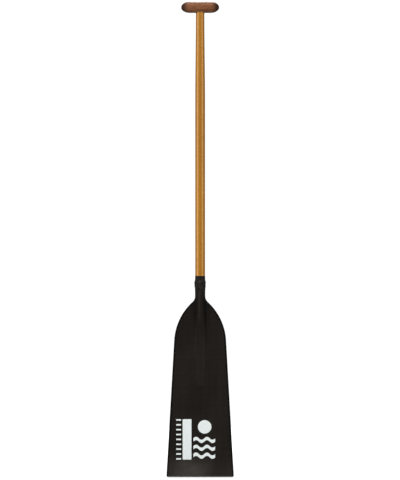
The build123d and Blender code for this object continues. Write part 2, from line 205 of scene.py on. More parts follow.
def corner_arc(i):
    """The arc that rounds an outline corner: its centre, its ends seen from there, and its sweep."""
    radius = CORNER_RADII[i - 1]
    before, here, after = (np.array(OUTLINE_CORNERS[k], float) for k in (i - 1, i, i + 1))
    into = (before - here) / np.linalg.norm(before - here)
    out = (after - here) / np.linalg.norm(after - here)
    half = math.acos(float(into @ out)) / 2
    reach = radius / math.tan(half)
    middle = here + (into + out) / np.linalg.norm(into + out) * radius / math.sin(half)
    return middle, here + into * reach - middle, here + out * reach - middle, math.pi - 2 * half


def rounded_outline():
    """The blade's right edge from the tip corner to the mouth, as points that rise in Z."""
    points = []
    for i in range(1, len(OUTLINE_CORNERS) - 1):
        middle, start, end, sweep = corner_arc(i)
        for k in range(ARC_STEPS + 1):
            s = k / ARC_STEPS
            mix = (math.sin((1 - s) * sweep) * start + math.sin(s * sweep) * end) / math.sin(sweep)
            points.append(middle + mix)
    points.append(np.array(OUTLINE_CORNERS[-1], float))
    return np.array(points)


OUTLINE = rounded_outline()
ABOVE_CORNER = OUTLINE[ARC_STEPS:]  # from the top of the tip corner's arc upwards
TANGENT = np.gradient(ABOVE_CORNER, axis=0)
TANGENT /= np.linalg.norm(TANGENT, axis=1)[:, None]
RAIL_INSIDE = ABOVE_CORNER + RAIL_WIDTH * np.stack([-TANGENT[:, 1], TANGENT[:, 0]], axis=1)
SIDE_SLOPE = (TIP_HALF_WIDTH - SHOULDER_CORNER[0]) / SHOULDER_CORNER[1]
SHOULDER_CENTRE = corner_arc(2)[0]
PLATE_SLOPE = (TOP_CENTRE_HALF - TIP_CENTRE_HALF) / PLATE_TOP_Z


def outer_width(z):
    """The blade's half width at a height z."""
    return float(np.interp(z, OUTLINE[:, 1], OUTLINE[:, 0]))


def rail_inner_width(z):
    """Half the distance between the two rails at a height z."""
    if z < RAIL_INSIDE[0, 1]:
        inside = RAIL_INSIDE[0, 0] + SIDE_SLOPE * (RAIL_INSIDE[0, 1] - z)
    else:
        inside = float(np.interp(z, RAIL_INSIDE[:, 1], RAIL_INSIDE[:, 0]))
    outside = outer_width(z)
    closing = smooth((z - RAIL_CLOSING_Z) / (RAIL_TOP_Z - RAIL_CLOSING_Z))
    return min(inside + (outside - inside) * RAIL_CLOSING * closing, outside)


def edge_lean(z):
    """Cosine of the outline's lean from vertical at a height z."""
    if z <= ABOVE_CORNER[0, 1]:
        return 1.0
    return float(np.interp(z, ABOVE_CORNER[:, 1], TANGENT[:, 1]))


def plate_left(z):
    """Share of the plate that is left at a height z, where it runs out into the neck."""
    return 1 - smooth((z - PLATE_FADE[0]) / (PLATE_FADE[1] - PLATE_FADE[0]))


def flank_blend(z):
    """Size of the hollow between the spine's flank and the plate; never quite zero."""
    growth = smooth((z - FLANK_BLEND_FROM) / (PLATE_FADE[0] - FLANK_BLEND_FROM))
    return (FLANK_BLEND_LOW + (FLANK_BLEND_HIGH - FLANK_BLEND_LOW) * growth) * plate_left(z) + 1e-6


def plate_centre(z):
    """Half the plate's thickness on its centre line."""
    return TIP_CENTRE_HALF + (TOP_CENTRE_HALF - TIP_CENTRE_HALF) * z / PLATE_TOP_Z


def spine_form(z):
    """Half width, half height and squareness of the spine's section at one height."""
    t = (SPINE_TOP_Z - z) / (SPINE_TOP_Z - SPINE_END_Z)
    widened = smooth(t / SPINE_WIDENING)
    half_width = NECK_RADIUS + (SPINE_HALF_WIDTH - NECK_RADIUS) * widened
    lowest = plate_centre(z) - SPINE_SINK
    half_height = lowest + (NECK_RADIUS - lowest) * (1 - smooth(t)) ** SPINE_DROP
    proud = smooth((z - SPINE_RUN_OUT[0]) / (SPINE_RUN_OUT[1] - SPINE_RUN_OUT[0]))
    half_height = max(half_height, lowest + (SPINE_SINK + SPINE_STEP) * proud)
    return half_width, half_height, 2 + (SPINE_SQUARENESS - 2) * widened


def face_depth(x, z, inset=0.0):
    """Distance of the blade's face from the middle plane, for an array of x at one height."""
    x = np.abs(np.asarray(x, float))
    centre = plate_centre(z)
    edge = TIP_EDGE_HALF + (TOP_EDGE_HALF - TIP_EDGE_HALF) * z / PLATE_TOP_Z
    flat = (centre - (centre - edge) * (x / PLATE_REACH) ** 2 - inset) * plate_left(z)
    depth_in = np.clip((outer_width(z) - x) * edge_lean(z) / EDGE_ROUND, 0.0, 1.0)
    nose = np.sqrt(1 - (1 - depth_in) ** 2)
    half_width, half_height, power = spine_form(z)
    half_width, half_height = half_width - inset, half_height - inset
    ridge = half_height * (1 - np.minimum(x / half_width, 1.0) ** power) ** (1 / power)
    reach = flank_blend(z)
    blend = np.clip(reach - np.abs(flat * nose - ridge), 0.0, None) / reach
    return np.maximum(flat * nose, ridge) + blend**2 * reach / 4 * nose


FOOT_MOST = 0.74  # the spine's foot stays within this share of the row's half width
HIGHEST_SHARE = 0.98  # the plate meets the spine no higher than this share of the spine's height
BESIDE_FOOT, BESIDE_SHARE = 5.0, 0.45  # the close points beside the foot reach this far, or this share
MIDDLE_POINTS, FAR_POINTS = 23, 17
SKIN_TIP_ROWS = [0.0, 0.06, 0.2, 0.4, 0.7, 1.2, 2.0]  # heights close together round the tip's edge
RAIL_TIP_ROWS = [0.09, 0.2, 0.4, 0.8, 1.3, 2.0, 3.0, 4.2]


def row_x(z, width):
    """Places across one row of the blade, closest together beside the spine's foot and the outer edge."""
    half_width, half_height, power = spine_form(z)
    share = min(plate_centre(z) / half_height, HIGHEST_SHARE)
    foot = min(half_width * (1 - share**power) ** (1 / power), FOOT_MOST * width)
    beside = foot + min(BESIDE_FOOT, BESIDE_SHARE * (width - foot))
    quarter = np.linspace(0, math.pi / 2, MIDDLE_POINTS)
    middle = foot * np.sin(quarter)
    near = foot + (beside - foot) * (1 - np.cos(quarter[::2]))[1:]
    far = beside + (width - beside) * np.sin(np.linspace(0, math.pi / 2, FAR_POINTS))[1:]
    half = np.concatenate([middle, near, far])
    return np.concatenate([-half[:0:-1], half])


def blade_rows():
    """Height and half width of the skins' rows, and whether the rails run beside them there."""
    low = SKIN_TIP_ROWS + spaced((3.0, SPINE_END_Z, 4.0), (SPINE_END_Z, 400.0, 3.0), (400.0, RAIL_TOP_Z, 2.0))
    high = spaced((RAIL_TOP_Z, PLATE_FADE[1], 1.0), (PLATE_FADE[1], MOUTH_Z, 5.0))
    return [(z, rail_inner_width(z), True) for z in low] + [(z, outer_width(z), False) for z in high]


def socket_radius(z):
    """Outer radius of the socket tube inside the neck, or zero below it."""
    if z < SHAFT_LOW[2]:
        return 0.0
    share = min((z - SHAFT_LOW[2]) / (TENON_TAPER_Z - SHAFT_LOW[2]), 1.0)
    return TENON_END_RADIUS + (TENON_RADIUS - TENON_END_RADIUS) * share + SOCKET_LAYERS


def skin_piece(name, side):
    """One moulded skin: its outer face, its inner face one skin thickness in, and the edges between."""
    outer, inner = [], []
    for z, width, railed in blade_rows():
        x = row_x(z, width)
        depth = face_depth(x, z) - TIP_ROUND * rounding(min(z / TIP_ROUND, 1.0)) * TIP_EASING
        under = face_depth(x, z, SKIN) if railed else np.zeros_like(x)
        if z < TIP_ROUND:
            under = np.minimum(under, depth - LEAST_SKIN)
        tube = np.sqrt(np.clip(socket_radius(z) ** 2 - x**2, 0.0, None))
        under = np.minimum(np.maximum(under, tube), depth)
        outer.append([(a, side * b, z) for a, b in zip(x, depth)])
        inner.append([(a, side * b, z) for a, b in zip(x, under)])
    rows, cols = len(outer), len(outer[0])
    verts = [p for row in outer + inner for p in row]
    base = rows * cols
    faces = []
    for r in range(rows - 1):
        faces += wall_between(r * cols, (r + 1) * cols, cols, closed=False)
        faces += wall_between(base + (r + 1) * cols, base + r * cols, cols, closed=False)
        for c in (0, cols - 1):
            a, e = r * cols + c, (r + 1) * cols + c
            faces.append((a, e, base + e, base + a))
    for r in (0, rows - 1):
        faces += wall_between(r * cols, base + r * cols, cols, closed=False)
    return piece(name, verts, faces, "carbon")


def rail_piece(name, side):
    """One edge rail: a strip between its flat inner wall and the blade's rounded outer edge."""
    inner_wall = [0.0, 0.25, 0.45]
    share = np.concatenate([inner_wall, 0.6 + 0.4 * np.sin(np.linspace(0, math.pi / 2, 9))])
    rings = []
    for z in RAIL_TIP_ROWS + spaced((6.0, 360.0, 4.0), (360.0, RAIL_TOP_Z, 2.0)):
        inside, outside = rail_inner_width(z), outer_width(z)
        x = inside + (outside - inside) * share
        y = face_depth(x, z)
        upper = [(side * a, b, z) for a, b in zip(x, y)]
        lower = [(side * a, -b, z) for a, b in zip(x[:-1], y[:-1])]
        rings.append(upper + lower[::-1])
    return piece(name, *bridged_rings(rings), "rail_laminate")


# ---- shaft -------------------------------------------------------------------------------------
def shaft_stations():
    """(height, radius) of the shaft's rings from the lower tenon's end to the upper tenon's end."""
    rings = [(SHAFT_LOW[2], TENON_END_RADIUS), (TENON_TAPER_Z, TENON_RADIUS), (MOUTH_Z, TENON_RADIUS)]
    rings += [(MOUTH_Z, SHAFT_MOUTH_RADIUS), (SHAFT_ROUND_START_Z, SHAFT_RADIUS)]
    rings += [(z, SHAFT_RADIUS) for z in spaced((SHAFT_ROUND_START_Z + 10, SHAFT_TAPER_START_Z - 5, 30.0))]
    for z in spaced((SHAFT_TAPER_START_Z, SHAFT_TAPER_END_Z, 8.0)):
        share = smooth((z - SHAFT_TAPER_START_Z) / (SHAFT_TAPER_END_Z - SHAFT_TAPER_START_Z))
        rings.append((z, SHAFT_RADIUS + (SHAFT_TOP_RADIUS - SHAFT_RADIUS) * share))
    rings += [(GRIP_SEAT_Z, SHAFT_TOP_RADIUS), (GRIP_SEAT_Z, GRIP_TENON_RADIUS)]
    return rings + [(SHAFT_HIGH[2], GRIP_TENON_RADIUS)]


def outer_stave(name, side):
    """The stave in front of a glue plane (side -1) or behind one (side 1)."""
    rings = []
    for z, radius in shaft_stations():
        lean = math.asin(CORE_STAVE_HALF / radius)
        rings.append(arc_points(radius, side * lean, side * (math.pi - lean), OUTER_STAVE_STEPS, z))
    return piece(name, *bridged_rings(rings), "shaft_wood", sharp=30.0)


def core_stave(name):
    """The stave between the two glue planes."""
    rings = []
    for z, radius in shaft_stations():
        lean = math.asin(CORE_STAVE_HALF / radius)
        right = arc_points(radius, -lean, lean, CORE_STAVE_STEPS, z)
        rings.append(right + arc_points(radius, math.pi - lean, math.pi + lean, CORE_STAVE_STEPS, z))
    return piece(name, *bridged_rings(rings), "shaft_wood", sharp=30.0)


# ---- grip --------------------------------------------------------------------------------------
def grip_reach(x, flat, power):
    """Reach of a side of the grip that is straight, then closes in a curve of that power."""
    over = min(max(abs(x) - flat, 0.0) / (GRIP_HALF_LENGTH - flat), 1.0)
    return GRIP_RADIUS * (1 - over**power) ** (1 / power)


def grip_ring(x, end):
    """One cross-section of the grip, at a distance x along it."""
    above = grip_reach(x, GRIP_TOP_FLAT, GRIP_TOP_POWER)
    below = grip_reach(x, GRIP_UNDER_FLAT, GRIP_UNDER_POWER)
    across = (above + below) / 2 / GRIP_RADIUS * GRIP_HALF_DEPTH
    eased = 1 - GRIP_END_EASING * (abs(x) / end) ** GRIP_END_POWER
    ring = []
    for i in range(GRIP_ROUND_STEPS):
        angle = math.tau * i / GRIP_ROUND_STEPS
        c, u = math.cos(angle), math.sin(angle)
        tall = above if u > 0 else below
        c = math.copysign(abs(c) ** (2 / GRIP_FULLNESS), c)
        u = math.copysign(abs(u) ** (2 / GRIP_FULLNESS), u)
        ring.append((x, across * eased * c, FULL_HEIGHT - GRIP_RADIUS + tall * eased * u))
    return ring


def grip_piece():
    """The shaped grip, with the seat of the shaft and its tenon cut out of it."""
    end = GRIP_HIGH[0]
    places = [end * math.sin((2 * k / GRIP_STEPS - 1) * math.pi / 2) for k in range(GRIP_STEPS + 1)]
    rings = [grip_ring(x, end) for x in places]
    obj = piece("grip_body", *bridged_rings(rings), "grip_wood", sharp=50.0)
    seat = [(GRIP_LOW[2] - GRIP_RADIUS, SHAFT_TOP_RADIUS), (GRIP_SEAT_Z, SHAFT_TOP_RADIUS)]
    seat += [(GRIP_SEAT_Z, GRIP_TENON_RADIUS + GLUE), (SHAFT_HIGH[2] + GLUE, GRIP_TENON_RADIUS + GLUE)]
    seat_rings = [ring_points(radius, GRIP_ROUND_STEPS, z) for z, radius in seat]
    cutter = closed_object("seat_cutter", *bridged_rings(seat_rings))
    cut = obj.modifiers.new("seat", "BOOLEAN")
    cut.operation, cut.solver, cut.object = "DIFFERENCE", "EXACT", cutter
    bpy.context.view_layer.update()
    cut_mesh = bpy.data.meshes.new_from_object(obj.evaluated_get(bpy.context.evaluated_depsgraph_get()))
    clean_mesh(cut_mesh, merge=2e-5, sliver=1e-6)
    obj.modifiers.clear()
    obj.data = cut_mesh
    bpy.data.objects.remove(cutter)
    return obj


# ---- sleeve ------------------------------------------------------------------------------------
def natural_spline(knots, values, at):
    """A natural cubic spline through the knots."""
    n = len(knots)
    h = np.diff(knots)
    system, right = np.eye(n), np.zeros(n)
    for i in range(1, n - 1):
        system[i, i - 1:i + 2] = h[i - 1], 2 * (h[i - 1] + h[i]), h[i]
        right[i] = 6 * ((values[i + 1] - values[i]) / h[i] - (values[i] - values[i - 1]) / h[i - 1])
    bend = np.linalg.solve(system, right)
    i = min(max(int(np.searchsorted(knots, at, side="right")) - 1, 0), n - 2)
    a, b = knots[i + 1] - at, at - knots[i]
    curved = (bend[i] * a**3 + bend[i + 1] * b**3) / (6 * h[i])
    level = (values[i] / h[i] - bend[i] * h[i] / 6) * a + (values[i + 1] / h[i] - bend[i + 1] * h[i] / 6) * b
    return curved + level


def sleeve_ring(z, plain):
    """One ring of the sleeve's outside: fuller on its left where it bulges, with small wrinkles."""
    bulge = math.exp(-(((z - BULGE_Z) / BULGE_SPREAD) ** 2))
    ring = []
    for i in range(SLEEVE_ROUND_STEPS):
        a = math.tau * i / SLEEVE_ROUND_STEPS
        tilt = bulge * (BULGE_TWIST * math.sin(2 * a + BULGE_TURN * z) - BULGE_LEFT * math.cos(a))
        wrinkle = WRINKLE * math.prod(math.sin(k * a + turn * z + start) for k, turn, start in WRINKLE_WAVES)
        r = plain + tilt + wrinkle * (WRINKLE_AT_REST + bulge)
        ring.append((r * math.cos(a), r * math.sin(a), z))
    return ring


def sleeve_piece():
    """The shrunk sleeve over the bands, the neck's end and the start of the shaft."""
    knots = np.array([z for z, _ in SLEEVE_PROFILE])
    radii = np.array([r for _, r in SLEEVE_PROFILE])
    low, high = knots[0], knots[-1]
    rings = []
    for z in spaced((low, low + 1.0, 0.25), (low + 1.0, high - 1.0, 0.8), (high - 1.0, high, 0.25)):
        lip = min(z - low, high - z, SLEEVE_LIP) / SLEEVE_LIP
        rings.append(sleeve_ring(z, natural_spline(knots, radii, z) - SLEEVE_LIP_DROP * rounding(lip)))
    inside = [(high, SHAFT_MOUTH_RADIUS + SLEEVE_TOP_WALL), (MOUTH_Z, SHAFT_MOUTH_RADIUS)]
    inside += [(MOUTH_Z, NECK_RADIUS), (low, NECK_RADIUS)]
    rings += [ring_points(radius, SLEEVE_ROUND_STEPS, z) for z, radius in inside]
    verts = [p for ring in rings for p in ring]
    faces = []
    for r in range(len(rings)):
        following = (r + 1) % len(rings)
        faces += wall_between(r * SLEEVE_ROUND_STEPS, following * SLEEVE_ROUND_STEPS, SLEEVE_ROUND_STEPS)
    return piece("shrunk_sleeve", verts, faces, "sleeve", sharp=50.0)


# ---- materials ---------------------------------------------------------------------------------
class Nodes:
    """Short names for building one material's node tree."""

    def __init__(self, name):
        self.material = bpy.data.materials.new(name)
        self.material.use_nodes = True
        self.tree = self.material.node_tree
        self.tree.nodes.clear()
        self.shader = self.tree.nodes.new("ShaderNodeBsdfPrincipled")
        output = self.tree.nodes.new("ShaderNodeOutputMaterial")
        self.tree.links.new(self.shader.outputs["BSDF"], output.inputs["Surface"])

    def put(self, socket, value):
        """Sets a socket to a constant, or links it to another socket."""
        if isinstance(value, bpy.types.NodeSocket):
            self.tree.links.new(value, socket)
        else:
            socket.default_value = value

    def set(self, **values):
        """Sets the shader's sockets; underscores stand for spaces."""
        for key, value in values.items():
            self.put(self.shader.inputs[key.replace("_", " ")], value)

    def math(self, operation, *values):
        node = self.tree.nodes.new("ShaderNodeMath")
        node.operation = operation
        for socket, value in zip(node.inputs, values):
            self.put(socket, value)
        return node.outputs[0]

    def plus(self, a, b):
        return self.math("ADD", a, b)

    def minus(self, a, b):
        return self.math("SUBTRACT", a, b)

    def times(self, a, b):
        return self.math("MULTIPLY", a, b)

    def times_plus(self, a, b, c):
        """a times b, plus c."""
        return self.math("MULTIPLY_ADD", a, b, c)

    def most(self, a, b):
        return self.math("MAXIMUM", a, b)

    def apart(self, a, place=0.0):
        """Distance of a value from a place, whichever side it is on."""
        return self.math("ABSOLUTE", self.minus(a, place) if place else a)

    def length(self, a, b):
        """Length of the hypotenuse over two sides."""
        return self.math("SQRT", self.times_plus(a, a, self.times(b, b)))

    def object_xyz(self):
        """The place on the object, in metres, as three values."""
        coordinates = self.tree.nodes.new("ShaderNodeTexCoord")
        split = self.tree.nodes.new("ShaderNodeSeparateXYZ")
        self.put(split.inputs[0], coordinates.outputs["Object"])
        return split.outputs[0], split.outputs[1], split.outputs[2]

    def vector(self, x, y, z):
        node = self.tree.nodes.new("ShaderNodeCombineXYZ")
        for socket, value in zip(node.inputs, (x, y, z)):
            self.put(socket, value)
        return node.outputs[0]

    def noise(self, per_metre, detail=3.0, roughness=0.5, shift=0.0):
        """Noise with its own number of waves per metre along X, Y and Z; shift moves the pattern."""
        places = [self.times_plus(place, waves, shift) for place, waves in zip(self.object_xyz(), per_metre)]
        node = self.tree.nodes.new("ShaderNodeTexNoise")
        self.put(node.inputs["Vector"], self.vector(*places))
        node.inputs["Scale"].default_value = 1.0
        node.inputs["Detail"].default_value = detail
        node.inputs["Roughness"].default_value = roughness
        return node.outputs["Fac"]

    def ramp(self, value, low, high, out_low=0.0, out_high=1.0):
        """Maps a range of values smoothly onto another."""
        node = self.tree.nodes.new("ShaderNodeMapRange")
        node.interpolation_type = "SMOOTHSTEP"
        for socket, v in zip(node.inputs, (value, low, high, out_low, out_high)):
            self.put(socket, v)
        return node.outputs[0]

    def fade(self, place, start_mm, end_mm, out_start=0.0, out_end=1.0):
        """Goes smoothly from one value to another between two places, which are given in millimetres."""
        return self.ramp(place, start_mm * MM, end_mm * MM, out_start, out_end)

    def mix(self, share, a, b):
        """Mixes two colours."""
        node = self.tree.nodes.new("ShaderNodeMix")
        node.data_type = "RGBA"
        self.put(node.inputs[0], share)
        for socket, v in ((node.inputs[6], a), (node.inputs[7], b)):
            self.put(socket, (*v, 1.0) if isinstance(v, tuple) else v)
        return node.outputs[2]

    def bump(self, height, depth_mm, strength):
        """Raises the surface by a height, which reaches that many millimetres where it is 1."""
        node = self.tree.nodes.new("ShaderNodeBump")
        node.inputs["Strength"].default_value = strength
        node.inputs["Distance"].default_value = depth_mm * MM
        self.put(node.inputs["Height"], height)
        self.put(self.shader.inputs["Normal"], node.outputs[0])


def random_shade(n, *vector):
    """A steady random value for each whole-numbered place."""
    node = n.tree.nodes.new("ShaderNodeTexWhiteNoise")
    node.noise_dimensions = "3D"
    n.put(node.inputs["Vector"], n.vector(*vector))
    return node.outputs["Value"]


# ---- carbon ------------------------------------------------------------------------------------
TOW = 2.7  # width of one tow of the plain weave, in millimetres
TOW_FLAT, TOW_SHOULDER = 0.8, 0.35  # exponents of a tow's arch along itself and of its sides
CELL_SHARE, ROW_SHARE, COLUMN_SHARE = 0.35, 0.4, 0.25  # how much each takes of a tow's random shade
CELL_SEED, ROW_SEED, COLUMN_SEED = 3.0, 11.0, 23.0

THIN_DARK, CLOUDY_DARK = (0.0044, 0.0032, 0.0023), (0.0084, 0.0064, 0.0049)
THIN_LIGHT, CLOUDY_LIGHT = (0.0140, 0.0106, 0.0081), (0.0238, 0.0182, 0.0143)
# Colour of the painted shade on the spine's flank, in the hollow beside it and along the rim.
PAINTED_SHADE_BLACK = (0.0026, 0.0021, 0.0018)
# Colours of the painted highlights on the spine's raised crown and along its ridge.
CROWN_HIGHLIGHT_GREY, RIDGE_HIGHLIGHT_GREY = (0.034, 0.029, 0.026), (0.052, 0.046, 0.041)
# The first grey is the rubbed patch near the tip, which also carries a painted reflection of the floor.
RUBBED_REFLECTION_GREY, BEVEL_GREY, SCUFF_GREY = (0.108, 0.096, 0.084), (0.075, 0.070, 0.066), (0.09, 0.085, 0.08)

# Places in millimetres: in each pair, where an effect sets in and where it is complete.
# Painted shade on the spine's flank, in the hollow beside it and along the rim:
FLANK_FOOT, FLANK_TOP = (0.03, 0.1), (0.9, 0.6)  # heights over the plate
HOLLOW_X, HOLLOW_INNER_X = (34.0, 18.0), (4.0, 12.0)
HOLLOW_BOTTOM, HOLLOW_TOP = (385.0, 450.0), (485.0, 472.0)
RIM_MARGIN, RIM_TOP = (6.5, 4.0), (473.0, 462.0)
FLANK_SHARE, HOLLOW_SHARE, RIM_SHARE = 0.16, 0.6, 0.9
# Painted highlight: the spine's raised crown is painted lighter, most on its lower part and gone by 420 mm.
CROWN_PROUD, CROWN_TOP, CROWN_HIGHLIGHT_SHARE = (0.4, 1.0), (420.0, 330.0), 0.09
# Painted highlight: a narrow lighter line along the spine's ridge near the neck, just left of its middle.
RIDGE_X, RIDGE_REACH, RIDGE_BOTTOM = -2.2, (4.2, 0.8), (400.0, 450.0)
RIDGE_HIGHLIGHT_SHARES = (0.07, 0.22)  # where the cloud is thin and where it is thick
# Lighter patch near the tip, left of the middle: rubbing together with a painted reflection of the floor.
RUBBED_REFLECTION_X, RUBBED_REFLECTION_REACH, RUBBED_REFLECTION_TOP, RUBBED_REFLECTION_SHARE = -26.0, (75.0, 4.0), (78.0, 0.0), 0.75
BEVEL_TOP, BEVEL_SHARE = (5.5, 2.0), 0.3
SCUFF_TOP, SCUFF_SHARE = (12.0, 0.0), 0.4


def weave(n, x, z):
    """A plain weave: (1 where the crosswise tow is on top, its crown, its shade)."""
    u, v = n.math("DIVIDE", x, TOW * MM), n.math("DIVIDE", z, TOW * MM)
    whole_u, whole_v = n.math("FLOOR", u), n.math("FLOOR", v)
    weft = n.math("FLOORED_MODULO", n.plus(whole_u, whole_v), 2.0)
    crown_u = n.apart(n.math("SINE", n.times(u, math.pi)))
    crown_v = n.apart(n.math("SINE", n.times(v, math.pi)))
    across = n.times(n.math("POWER", crown_v, TOW_SHOULDER), n.math("POWER", crown_u, TOW_FLAT))
    along = n.times(n.math("POWER", crown_u, TOW_SHOULDER), n.math("POWER", crown_v, TOW_FLAT))
    crown = n.plus(n.times(across, weft), n.times(along, n.minus(1.0, weft)))
    cell = random_shade(n, whole_u, whole_v, CELL_SEED)
    row = random_shade(n, 0.0, whole_v, ROW_SEED)
    column = random_shade(n, whole_u, 0.0, COLUMN_SEED)
    shade = n.times_plus(column, COLUMN_SHARE, n.times(cell, CELL_SHARE))
    return weft, crown, n.times_plus(row, ROW_SHARE, shade)


def edge_margin(n, width, z):
    """Distance in from the blade's outer edge: from its straight side, or from the shoulder's arc above."""
    centre_x, centre_z = (float(c) * MM for c in SHOULDER_CENTRE)
    arc_margin = n.minus(SHOULDER_RADIUS * MM, n.length(n.minus(width, centre_x), n.minus(z, centre_z)))
    side_margin = n.minus(n.times_plus(z, -SIDE_SLOPE, TIP_HALF_WIDTH * MM), width)
    upper = n.math("GREATER_THAN", z, centre_z + SHOULDER_RADIUS * SIDE_SLOPE * MM)
    return n.times_plus(upper, n.minus(arc_margin, side_margin), side_margin)


def painted_shade_share(n, x, z, proud):
    """Where shade is painted dark: on the spine's flank, in the hollow beside it and along the rim."""
    width = n.apart(x)
    flank = n.times(n.fade(proud, *FLANK_FOOT), n.fade(proud, *FLANK_TOP, 0.0, FLANK_SHARE))
    hollow = n.times(n.fade(width, *HOLLOW_X), n.fade(z, *HOLLOW_BOTTOM, 0.0, HOLLOW_SHARE))
    hollow = n.times(hollow, n.times(n.fade(z, *HOLLOW_TOP), n.fade(width, *HOLLOW_INNER_X)))
    rim = n.times(n.fade(edge_margin(n, width, z), *RIM_MARGIN), n.fade(z, *RIM_TOP, 0.0, RIM_SHARE))
    return n.most(n.most(flank, hollow), rim)


def carbon_material():
    """Plain-woven carbon under a thin satin coat, each tow painted lighter on its crown; rubbed lighter
    towards the tip together with a painted reflection of the floor there, with painted highlights on the
    spine and painted shade beside it and along the rim.
    """
    n = Nodes("carbon")
    x, y, z = n.object_xyz()
    weft, crown, shade = weave(n, x, z)
    blotches = n.ramp(n.noise((11, 11, 7), detail=4), 0.34, 0.66)
    streaks = n.ramp(n.noise((60, 60, 3.5)), 0.34, 0.66)
    cloud = n.times_plus(blotches, 0.65, n.times(streaks, 0.35))
    fibre_across, fibre_along = n.noise((220, 220, 5200), detail=2), n.noise((5200, 220, 220), detail=2)
    fibre = n.plus(n.times(fibre_across, weft), n.times(fibre_along, n.minus(1.0, weft)))

    lift = n.plus(n.times_plus(weft, 0.16, n.times(shade, 0.5)), n.times(fibre, 0.24))
    # Painted shade and highlight: each tow darker towards its sides and lighter on its crown.
    lift = n.times(lift, n.times_plus(crown, 0.85, 0.35))
    cloth = n.mix(lift, n.mix(cloud, THIN_DARK, CLOUDY_DARK), n.mix(cloud, THIN_LIGHT, CLOUDY_LIGHT))
    plate = n.times_plus(z, PLATE_SLOPE, TIP_CENTRE_HALF * MM)
    proud = n.minus(n.apart(y), plate)  # height over the plate
    # Painted highlight: the spine's raised crown is painted lighter.
    crown_highlight = n.times(n.fade(proud, *CROWN_PROUD), n.fade(z, *CROWN_TOP, 0.0, CROWN_HIGHLIGHT_SHARE))
    cloth = n.mix(crown_highlight, cloth, CROWN_HIGHLIGHT_GREY)
    # Painted shade: darker on the spine's flank, in the hollow beside it and along the rim.
    cloth = n.mix(painted_shade_share(n, x, z, proud), cloth, PAINTED_SHADE_BLACK)
    # Painted highlight: a narrow lighter line along the spine's ridge near the neck.
    ridge = n.times(n.fade(z, *RIDGE_BOTTOM), n.ramp(cloud, 0.2, 0.7, *RIDGE_HIGHLIGHT_SHARES))
    ridge = n.times(n.fade(n.apart(x, RIDGE_X * MM), *RIDGE_REACH), ridge)
    cloth = n.mix(ridge, cloth, RIDGE_HIGHLIGHT_GREY)

    # Lighter near the tip: rubbing together with a painted reflection of the floor.
    patchy = n.ramp(n.noise((20, 20, 34)), 0.3, 0.8, 0.55, 1.0)
    rubbed_and_reflection = n.times(n.times(n.fade(z, *RUBBED_REFLECTION_TOP, 0.0, RUBBED_REFLECTION_SHARE), patchy),
                     n.fade(n.apart(x, RUBBED_REFLECTION_X * MM), *RUBBED_REFLECTION_REACH, 0.16, 1.0))
    cloth = n.mix(rubbed_and_reflection, cloth, RUBBED_REFLECTION_GREY)
    cloth = n.mix(n.fade(z, *BEVEL_TOP, 0.0, BEVEL_SHARE), cloth, BEVEL_GREY)
    scuff_lines = n.ramp(n.noise((60, 60, 900), detail=5, roughness=0.7), 0.62, 0.72)
    scuff = n.times(scuff_lines, n.fade(z, *SCUFF_TOP))
    n.set(Base_Color=n.mix(n.times(scuff, SCUFF_SHARE), cloth, SCUFF_GREY))
    rough = n.plus(n.times_plus(weft, -0.06, 0.42), n.times(fibre, 0.08))
    n.set(Roughness=n.plus(rough, n.times(scuff, 0.15)))
    n.set(Specular_IOR_Level=0.12)
    n.bump(n.times_plus(fibre, 0.15, crown), 0.12, 0.7)
    return n.material


def rail_material():
    """Resin-rich black laminate along the edges, with faint streaks and knocks."""
    n = Nodes("rail_laminate")
    streak = n.noise((300, 300, 12))
    knock = n.ramp(n.noise((120, 120, 120), detail=5, roughness=0.65), 0.66, 0.74)
    black = n.mix(streak, (0.0020, 0.0018, 0.0016), (0.0050, 0.0045, 0.0040))
    n.set(Base_Color=n.mix(n.times(knock, 0.3), black, (0.03, 0.028, 0.026)))
    n.set(Roughness=n.times_plus(streak, 0.12, 0.48))
    n.set(Specular_IOR_Level=0.06)
    n.bump(knock, 0.08, 0.4)
    return n.material


def sleeve_material():
    """Shrunk plastic sleeve: soft black with lengthwise draw marks."""
    n = Nodes("sleeve")
    draw = n.ramp(n.noise((260, 260, 110), detail=4), 0.32, 0.68)
    grain = n.noise((2200, 2200, 2200), detail=2)
    crease = n.noise((150, 150, 260), roughness=0.55)
    n.set(Base_Color=n.mix(draw, (0.0075, 0.0066, 0.0055), (0.0235, 0.0208, 0.0178)))
    n.set(Roughness=n.times_plus(draw, 0.16, 0.32))
    n.set(Specular_IOR_Level=0.14)
    n.bump(n.times_plus(crease, 2.4, n.times_plus(grain, 0.25, draw)), 0.22, 0.8)
    return n.material


# ---- wood --------------------------------------------------------------------------------------
SHAFT_RING, SHAFT_RING_SWAY, SHAFT_RING_SLANT = 1.7, 6.0, 0.55  # ring width and wander in mm; slant in depth
EARLY_DEEP, EARLY_BRIGHT = (0.154, 0.059, 0.0026), (0.214, 0.088, 0.0044)
LATE_DEEP, LATE_BRIGHT = (0.101, 0.034, 0.0017), (0.135, 0.049, 0.0028)
SHAFT_PORE = (0.11, 0.045, 0.010)
BRIGHT_PART = (680.0, 950.0)  # heights between which the shaft turns from its bright colours to its deep ones
VARNISH_TINT = (1.0, 0.62, 0.26, 1.0)

GRIP_RING, GRIP_RING_SWAY, GRIP_RING_SLANT = 3.4, 12.0, 0.35
GRIP_EARLY_DEEP, GRIP_EARLY_BRIGHT = (0.080, 0.031, 0.013), (0.142, 0.058, 0.026)
GRIP_LATE_DEEP, GRIP_LATE_BRIGHT = (0.026, 0.008, 0.003), (0.045, 0.015, 0.006)
GRIP_PORE, END_GRAIN_AND_SHADE = (0.04, 0.015, 0.008), (0.009, 0.003, 0.0015)
